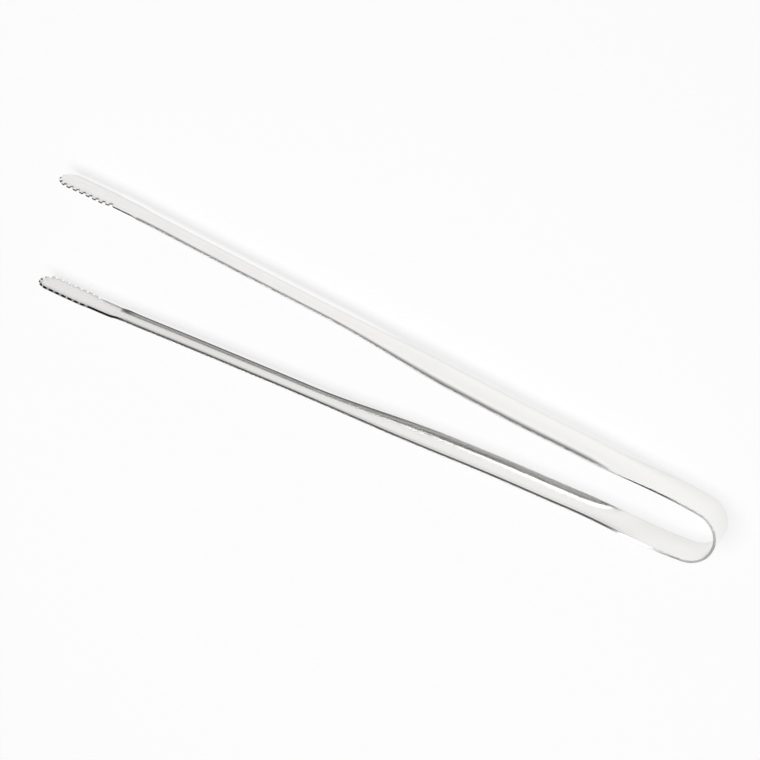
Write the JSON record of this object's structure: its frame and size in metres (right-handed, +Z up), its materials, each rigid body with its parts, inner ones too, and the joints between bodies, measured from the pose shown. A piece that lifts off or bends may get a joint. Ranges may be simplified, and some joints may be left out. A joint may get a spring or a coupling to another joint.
{
  "type": "kitchen tweezers",
  "caption": "Long sprung kitchen tweezers: channelled sheet-steel arms on a folded bow, with shallow toothed spoon tips that close on food when the grips are squeezed.",
  "frame": {"origin": "on the surface that the tweezers lie on, on one side, under the middle of their outline", "axes": "+X from the bow to the spoon tips, +Y from the right arm to the left arm, the way they open, +Z up, across the width of the sheet"},
  "size_m": [0.3, 0.0518, 0.0166],
  "materials": {
    "satin_stainless": "satin stainless steel sheet, with a very fine grain along the arms and duller cut edges"
  },
  "bodies": {
    "bow": {"spring_bow": "satin_stainless"},
    "right": {"right_arm": "satin_stainless"},
    "left": {"left_arm": "satin_stainless"}
  },
  "joints": [
    {"name": "right_arm_flex", "type": "hinge", "parent": "bow", "child": "right", "pos_m": [-0.13597, -0.01072, 0.0083], "axis": [0, 0, 1], "range_deg": [0, 4.59], "stiffness_Nm_per_rad": 4.5},
    {"name": "left_arm_flex", "type": "hinge", "parent": "bow", "child": "left", "pos_m": [-0.13597, 0.01072, 0.0083], "axis": [0, 0, -1], "range_deg": [0, 4.59], "stiffness_Nm_per_rad": 4.5}
  ],
  "couplings": [
    {"joint": "left_arm_flex", "follows": "right_arm_flex", "ratio": 1}
  ]
}
